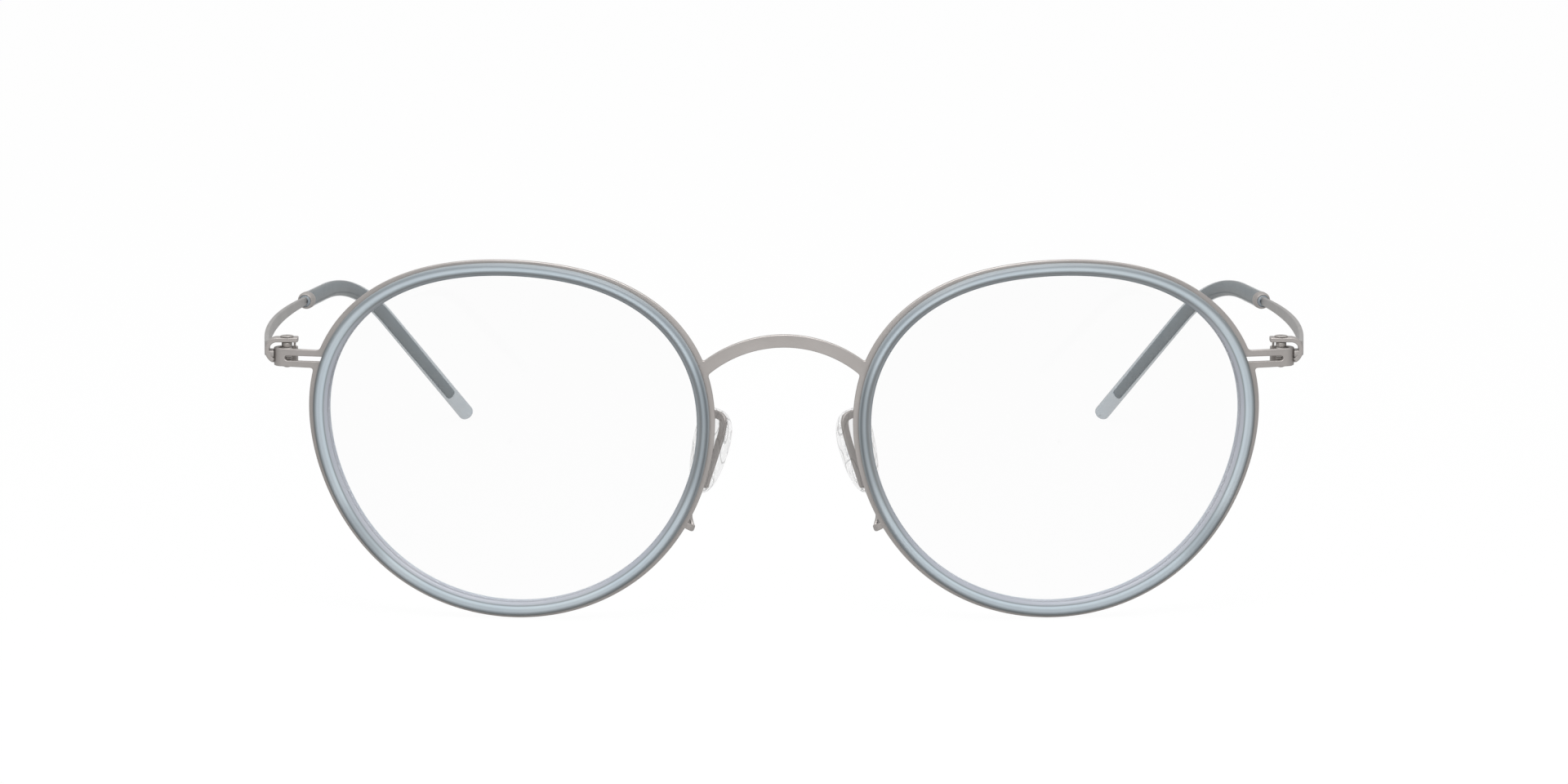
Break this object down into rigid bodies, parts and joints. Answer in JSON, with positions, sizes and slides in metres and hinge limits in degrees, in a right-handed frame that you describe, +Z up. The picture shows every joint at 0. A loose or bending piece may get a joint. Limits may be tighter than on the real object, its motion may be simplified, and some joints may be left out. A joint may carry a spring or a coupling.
{
  "type": "eyeglasses",
  "caption": "Round wire eyeglasses: a flat metal front with an arched bridge, clear plastic inner rims and lenses, pads on looped arms, and folding temples with plastic ear sleeves.",
  "frame": {"origin": "on the table, under the middle of the footprint, with the temples open", "axes": "+Z up, +X towards the wearer's left, +Y from the front towards the temple tips"},
  "size_m": [0.1414, 0.1396, 0.048],
  "materials": {
    "satin_metal": "fine satin, warm grey",
    "screw_metal": "turned, smooth",
    "acetate": "polished translucent pale blue-grey acetate",
    "sleeve_acetate": "polished transparent pale blue-grey acetate over a metal core",
    "lens_resin": "clear demonstration lens, polished",
    "silicone": "clear, smooth",
    "nylon": "matte"
  },
  "bodies": {
    "front": {"front_frame": "satin_metal", "inner_rim_left": "acetate", "inner_rim_right": "acetate", "lens_left": "lens_resin", "lens_right": "lens_resin", "nose_pad_left": "silicone", "nose_pad_right": "silicone", "hinge_bush_left": "nylon", "hinge_bush_right": "nylon"},
    "temple_left": {"temple_left": "satin_metal", "hinge_screw_left": "screw_metal", "washer_upper_left": "screw_metal", "washer_lower_left": "screw_metal", "ferrule_left": "satin_metal", "temple_sleeve_left": "sleeve_acetate"},
    "temple_right": {"temple_right": "satin_metal", "hinge_screw_right": "screw_metal", "washer_upper_right": "screw_metal", "washer_lower_right": "screw_metal", "ferrule_right": "satin_metal", "temple_sleeve_right": "sleeve_acetate"}
  },
  "joints": [
    {"name": "temple_hinge_left", "type": "hinge", "parent": "front", "child": "temple_left", "pos_m": [0.06559, -0.06073, 0.03465], "axis": [0, 0, 1], "range_deg": [0, 83]},
    {"name": "temple_hinge_right", "type": "hinge", "parent": "front", "child": "temple_right", "pos_m": [-0.06559, -0.06073, 0.03465], "axis": [0, 0, -1], "range_deg": [0, 79]}
  ]
}
